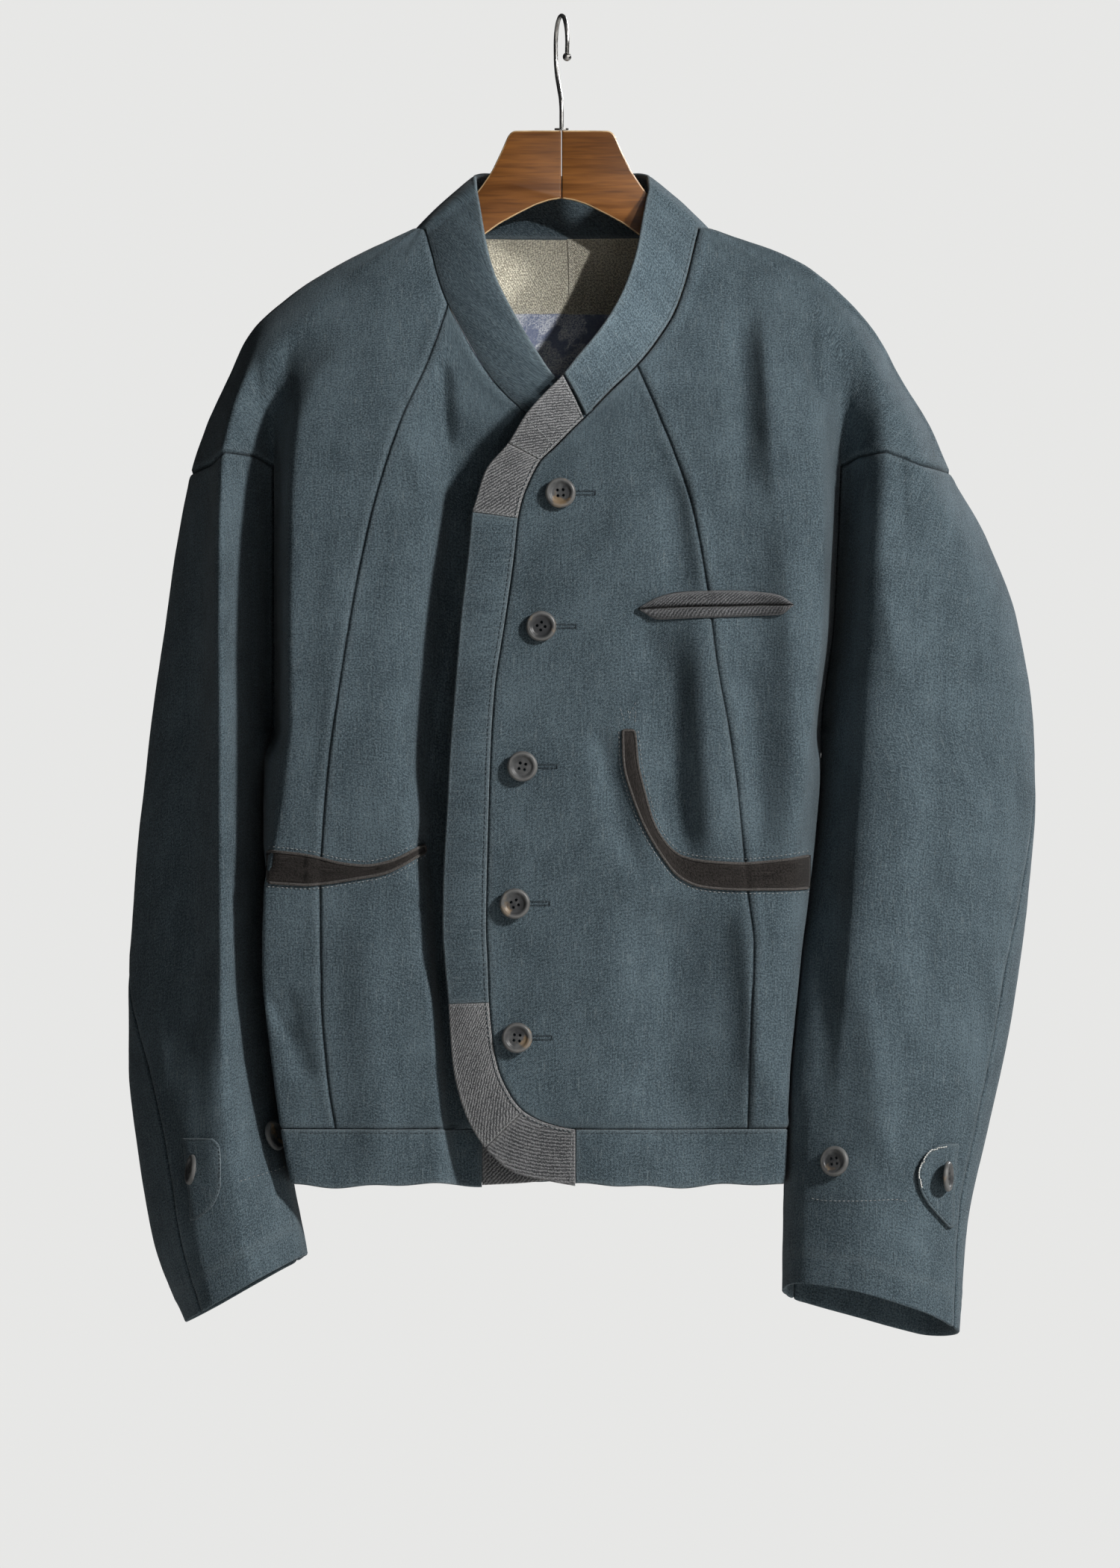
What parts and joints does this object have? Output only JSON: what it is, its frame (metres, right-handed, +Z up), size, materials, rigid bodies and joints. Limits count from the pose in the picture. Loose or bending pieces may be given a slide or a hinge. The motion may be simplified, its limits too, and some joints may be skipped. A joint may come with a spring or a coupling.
{
  "type": "patched jacket on a wooden hanger",
  "caption": "Worn, patched indigo twill work jacket with a collarless band neck and wrapped front, hanging on a two-piece wooden hanger by a wire hook.",
  "frame": {"origin": "inside top of the hanger's wire hook, where it bears on a rail or wall ring", "axes": "+Z up, -Y out of the jacket's front, +X towards the wearer's left"},
  "size_m": [0.5946, 0.1835, 0.8693],
  "materials": {
    "indigo_twill": "worn indigo twill with pale slubs and rubbed seams, matte",
    "grey_twill": "warm grey twill patches and piping, matte",
    "cream_linen": "cream linen facing inside the neck, matte",
    "mottled_cotton": "mottled grey-white cotton, matte",
    "brown_facing": "dark brown pocket facing, matte",
    "horn": "mottled grey horn, satin",
    "wood": "reddish-brown varnished wood with worn light edges",
    "steel_wire": "bright steel wire"
  },
  "bodies": {
    "root": {"back_panel": "indigo_twill", "chest_welt_lower": "grey_twill", "chest_welt_upper": "grey_twill", "corner_patch_lower_left": "grey_twill", "corner_patch_right": "grey_twill", "corner_patch_upper_left": "grey_twill", "front_band_left": "indigo_twill", "front_band_right": "indigo_twill", "front_button_1": "horn", "front_button_2": "horn", "front_button_3": "horn", "front_button_4": "horn", "front_button_5": "horn", "hanger_half_left": "wood", "hanger_half_right": "wood", "hanger_hook": "steel_wire", "hem_band_back": "indigo_twill", "hem_band_left_front": "indigo_twill", "hem_band_right_front": "indigo_twill", "hook_ball": "steel_wire", "hook_washer": "steel_wire", "lapel_patch_lower": "grey_twill", "lapel_patch_upper": "grey_twill", "left_cuff_front_button": "horn", "left_cuff_tab": "indigo_twill", "left_cuff_tab_button": "horn", "left_front_centre": "indigo_twill", "left_front_side": "indigo_twill", "left_pocket_facing": "brown_facing", "left_pocket_piping": "grey_twill", "left_sleeve_top": "indigo_twill", "left_sleeve_under": "indigo_twill", "neck_facing_left": "cream_linen", "neck_facing_right": "cream_linen", "neck_lining_patch": "mottled_cotton", "neckband": "indigo_twill", "right_cuff_front_button": "horn", "right_cuff_tab": "indigo_twill", "right_cuff_tab_button": "horn", "right_front_centre": "indigo_twill", "right_front_side": "indigo_twill", "right_pocket_facing": "brown_facing", "right_pocket_piping": "grey_twill", "right_sleeve_top": "indigo_twill", "right_sleeve_under": "indigo_twill"}
  },
  "joints": []
}
